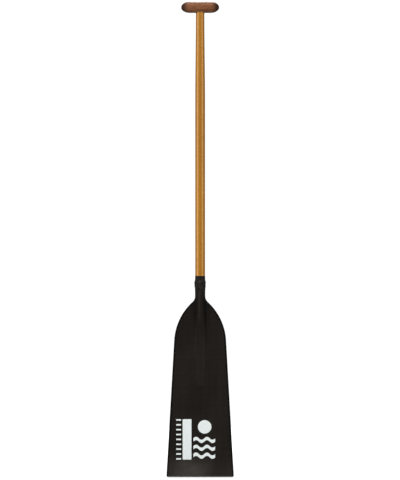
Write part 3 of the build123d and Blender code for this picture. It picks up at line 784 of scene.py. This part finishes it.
# From here outwards the grip's ends are painted near black: end grain together with painted shade.
END_GRAIN_AND_SHADE_X = (30.0, 45.5)
OIL_TINT = (1.0, 0.66, 0.46, 1.0)


def late_wood(n, place, ring_width, rise, peak):
    """Share of dark late wood through the growth rings, which rises slowly and ends sharply."""
    ring = n.math("FRACT", n.math("DIVIDE", place, ring_width * MM))
    return n.times(n.ramp(ring, rise, peak), n.ramp(ring, 1.0, peak))


def shaft_material(name, shift, tone):
    """Straight-grained varnished wood; shift moves the grain and tone darkens the stave."""
    n = Nodes(name)
    x, y, z = n.object_xyz()

    def toned(colour):
        return tuple(c * tone for c in colour)

    sway = n.noise((9, 9, 1.6), detail=2, shift=shift)
    across = n.times_plus(sway, SHAFT_RING_SWAY * MM, n.times_plus(y, SHAFT_RING_SLANT, x))
    late = late_wood(n, n.plus(across, 0.1 + shift * 0.01), SHAFT_RING, 0.45, 0.93)
    fibre = n.noise((1500, 1500, 22), detail=4, roughness=0.6, shift=shift)
    patch = n.plus(n.noise((10, 10, 3.2), shift=shift), n.fade(z, *BRIGHT_PART, 0.55, -0.1))
    pores = n.ramp(n.noise((2600, 2600, 60), detail=2, shift=shift), 0.66, 0.74)
    early = n.mix(patch, toned(EARLY_DEEP), toned(EARLY_BRIGHT))
    dark = n.mix(patch, toned(LATE_DEEP), toned(LATE_BRIGHT))
    wood = n.mix(n.times(late, 0.6), early, dark)
    wood = n.mix(n.ramp(fibre, 0.35, 0.7, 0.0, 0.35), wood, dark)
    n.set(Base_Color=n.mix(n.times(pores, 0.45), wood, toned(SHAFT_PORE)))
    n.set(Roughness=n.times_plus(fibre, 0.15, 0.36))
    n.set(Specular_IOR_Level=0.75, Specular_Tint=VARNISH_TINT, Coat_Weight=0.08, Coat_Roughness=0.3)
    n.bump(n.minus(n.times(fibre, 0.5), pores), 0.03, 0.35)
    return n.material


def grip_material():
    """Oiled reddish hardwood, grain along the grip, with its ends painted near black: darker end grain
    together with painted shade.
    """
    n = Nodes("grip_wood")
    x, y, z = n.object_xyz()
    sway = n.noise((5, 60, 60))
    height = n.times_plus(sway, GRIP_RING_SWAY * MM, n.times_plus(y, GRIP_RING_SLANT, z))
    late = late_wood(n, height, GRIP_RING, 0.35, 0.92)
    fibre = n.noise((45, 1500, 1500), detail=4, roughness=0.6)
    pores = n.ramp(n.noise((110, 2200, 2200), detail=2), 0.63, 0.72)
    patch = n.noise((22, 50, 50))
    light = n.mix(patch, GRIP_EARLY_DEEP, GRIP_EARLY_BRIGHT)
    dark = n.mix(patch, GRIP_LATE_DEEP, GRIP_LATE_BRIGHT)
    mottle = n.ramp(n.noise((85, 200, 200)), 0.40, 0.62)
    wood = n.mix(n.most(n.times(late, 0.6), n.times(mottle, 0.6)), light, dark)
    wood = n.mix(n.ramp(fibre, 0.35, 0.7, 0.0, 0.4), wood, dark)
    wood = n.mix(n.times(pores, 0.55), wood, GRIP_PORE)
    # Ends painted near black: end grain together with painted shade.
    end = n.fade(n.apart(x), *END_GRAIN_AND_SHADE_X)
    n.set(Base_Color=n.mix(n.times(end, 0.96), wood, END_GRAIN_AND_SHADE))
    n.set(Roughness=n.plus(n.times_plus(fibre, 0.16, 0.42), n.times(end, 0.25)))
    n.set(Specular_IOR_Level=0.18, Specular_Tint=OIL_TINT)
    n.bump(n.minus(n.times(fibre, 0.6), pores), 0.05, 0.4)
    return n.material


# ---- film and inner pieces ---------------------------------------------------------------------
def film_material():
    """Pale printed film with a fine screen texture and slight wear."""
    n = Nodes("print_film")
    grain = n.noise((1600, 1600, 1600))
    worn = n.ramp(n.noise((70, 70, 240), detail=6, roughness=0.7), 0.62, 0.78)
    white = n.mix(grain, (0.735, 0.79, 0.775), (0.88, 0.94, 0.925))
    n.set(Base_Color=n.mix(n.times(worn, 0.45), white, (0.30, 0.31, 0.31)))
    n.set(Roughness=n.times_plus(grain, 0.2, 0.4))
    n.bump(grain, 0.02, 0.3)
    return n.material


def inner_material(name, dark, light, per_metre, roughness, depth_mm):
    """A speckled or fibrous material for the pieces inside the paddle."""
    n = Nodes(name)
    fine = n.noise(per_metre, detail=4, roughness=0.6)
    n.set(Base_Color=n.mix(fine, dark, light))
    n.set(Roughness=n.times_plus(fine, 0.15, roughness))
    n.bump(fine, depth_mm, 0.5)
    return n.material


# (material, dark and light colour, waves per metre, roughness, bump in millimetres, nodes that it covers)
INNER_MATERIALS = (
    ("binding", (0.008, 0.008, 0.009), (0.03, 0.03, 0.032), (200, 200, 3000), 0.35, 0.1,
     ("upper_band", "lower_band")),
    ("glue", (0.09, 0.075, 0.05), (0.16, 0.13, 0.09), (300, 300, 300), 0.2, 0.03,
     ("mouth_bead", "socket_glue", "grip_glue")),
    ("core_foam", (0.66, 0.62, 0.50), (0.80, 0.77, 0.66), (900, 900, 900), 0.7, 0.2,
     ("left_foam_core", "right_foam_core")),
    ("spine_wood", (0.52, 0.38, 0.22), (0.70, 0.56, 0.36), (700, 700, 20), 0.6, 0.1, ("spine_block",)),
    ("tube_laminate", (0.010, 0.010, 0.011), (0.028, 0.028, 0.03), (1200, 1200, 80), 0.3, 0.06,
     ("socket_tube",)),
)


def paint(obj, material):
    """Gives an object one material in all its slots."""
    obj.data.materials.clear()
    obj.data.materials.append(material)


# ---- build the visible pieces ------------------------------------------------------------------
carbon = carbon_material()
for skin in (skin_piece("front_skin", -1), skin_piece("back_skin", 1)):
    paint(skin, carbon)

rails = rail_material()
for rail in (rail_piece("right_edge_rail", 1), rail_piece("left_edge_rail", -1)):
    paint(rail, rails)

front_stave, back_stave = outer_stave("shaft_front_stave", -1), outer_stave("shaft_back_stave", 1)
middle_stave, grip = core_stave("shaft_core_stave"), grip_piece()
paint(front_stave, shaft_material("shaft_wood_front", 0.0, 0.93))
paint(back_stave, shaft_material("shaft_wood_back", 3.7, 0.97))
paint(middle_stave, shaft_material("shaft_wood_core", 8.1, 0.80))
paint(grip, grip_material())
paint(sleeve_piece(), sleeve_material())

film = film_material()
for name, obj in nodes.items():
    if name.startswith("printed_"):
        paint(obj, film)
paint(nodes["tip_bar"], rails)
for *finish, names in INNER_MATERIALS:
    material = inner_material(*finish)
    for name in names:
        paint(nodes[name], material)


# ---- studio, in metres -------------------------------------------------------------------------
FLOOR_RADIUS, FLOOR_DROP = 1.9, 0.0005
FLOOR_GREY, FLOOR_GLOW = 0.3, (0.68, 1.02)  # glow on its inner part and far out
GLOW_LIGHTING = 0.4  # share of the floor's glow that lights the paddle
GLOW_AT_TIP = 0.65  # share of it that is left right beside the tip, for the contact shadow
SURROUND_SEEN, SURROUND_LIGHTING = 1.05, 0.14

# (name, azimuth, elevation, distance, height aimed at, size, power, pieces that it is kept to)
WOODEN = [p.name for p in (front_stave, back_stave, middle_stave, grip)]
SOFTBOXES = (
    ("strip_left", -66, 0, 2.2, 1.15, (0.8, 2.0), 68, WOODEN),
    ("strip_right", 56, 0, 1.6, 1.15, (0.32, 1.6), 29, WOODEN),
    ("overhead_front", -14, 56, 3.2, 0.6, (2.4, 1.4), 150, ()),
    ("overhead_back", 168, 56, 3.2, 0.6, (2.4, 1.4), 120, ()),
    ("top", 0, 82, 1.1, 1.2, (1.0, 0.36), 3, ()),
)

FRAME_HEIGHT = 1.2836  # of the paddle's plane that the frame shows from top to bottom
FRAME_MIDDLE_X, FRAME_MIDDLE_Z = -0.0004, 0.6335
LENS = 200  # millimetres: nearly parallel rays
FAR_CLIP = 50


def floor_piece():
    """A plain pale floor under the tip of the blade; it brightens outwards into the white surround."""
    work = bmesh.new()
    bmesh.ops.create_circle(work, cap_ends=True, segments=96, radius=FLOOR_RADIUS)
    mesh = bpy.data.meshes.new("floor")
    work.to_mesh(mesh)
    work.free()
    obj = bpy.data.objects.new("floor", mesh)
    obj.location.z = -FLOOR_DROP
    bpy.context.collection.objects.link(obj)
    n = Nodes("floor")
    x, y, _ = n.object_xyz()
    beside = n.most(n.fade(n.apart(x), 75.0, 115.0), n.fade(n.apart(y), 0.0, 45.0))
    seen = n.tree.nodes.new("ShaderNodeLightPath").outputs["Is Camera Ray"]
    glow = n.times(n.ramp(n.length(x, y), 0.3, 1.1, *FLOOR_GLOW),
                   n.times_plus(seen, 1 - GLOW_LIGHTING, GLOW_LIGHTING))
    glow = n.times(glow, n.times_plus(beside, 1 - GLOW_AT_TIP, GLOW_AT_TIP))
    n.set(Base_Color=(FLOOR_GREY, FLOOR_GREY, FLOOR_GREY, 1.0), Roughness=0.9, Specular_IOR_Level=0.0)
    n.set(Emission_Color=(1.0, 1.0, 1.0, 1.0), Emission_Strength=glow)
    obj.data.materials.append(n.material)
    return obj


def softbox(name, azimuth, elevation, distance, aim_z, size, power, lit):
    """A softbox turned towards the paddle's middle plane; azimuth 0 is in front of it and 90 to its right.

    Where pieces are named in lit, it is flagged off everything else.
    """
    light = bpy.data.lights.new(name, "AREA")
    light.shape, light.size, light.size_y = "RECTANGLE", size[0], size[1]
    light.energy = power
    obj = bpy.data.objects.new(name, light)
    a, e = math.radians(azimuth), math.radians(elevation)
    reach = distance * math.cos(e)
    obj.location = (reach * math.sin(a), -reach * math.cos(a), aim_z + distance * math.sin(e))
    obj.rotation_euler = (math.pi / 2 - e, 0, a)
    obj.visible_camera = False
    bpy.context.collection.objects.link(obj)
    if lit:
        receivers = bpy.data.collections.new(f"{name}_lit")
        for piece_name in lit:
            receivers.objects.link(bpy.data.objects[piece_name])
        obj.light_linking.receiver_collection = receivers
    return obj


def studio_world():
    """A white surround for the camera that lights the paddle only softly."""
    world = bpy.data.worlds.new("studio")
    world.use_nodes = True
    tree = world.node_tree
    tree.nodes.clear()
    mix, output = tree.nodes.new("ShaderNodeMixShader"), tree.nodes.new("ShaderNodeOutputWorld")
    path = tree.nodes.new("ShaderNodeLightPath")
    tree.links.new(path.outputs["Is Camera Ray"], mix.inputs[0])
    for socket, strength in ((mix.inputs[1], SURROUND_LIGHTING), (mix.inputs[2], SURROUND_SEEN)):
        background = tree.nodes.new("ShaderNodeBackground")
        background.inputs["Color"].default_value = (1.0, 1.0, 1.0, 1.0)
        background.inputs["Strength"].default_value = strength
        tree.links.new(background.outputs[0], socket)
    tree.links.new(mix.outputs[0], output.inputs["Surface"])
    bpy.context.scene.world = world


floor_piece()
studio_world()
for box in SOFTBOXES:
    softbox(*box)

bpy.context.scene.view_settings.view_transform = "Standard"

camera_data = bpy.data.cameras.new("camera")
camera_data.lens = LENS
camera_data.clip_end = FAR_CLIP
camera = bpy.data.objects.new("camera", camera_data)
distance = FRAME_HEIGHT * camera_data.lens / camera_data.sensor_width
camera.location = (FRAME_MIDDLE_X, -distance, FRAME_MIDDLE_Z)
camera.rotation_euler = (math.pi / 2, 0, 0)
bpy.context.collection.objects.link(camera)
bpy.context.scene.camera = camera
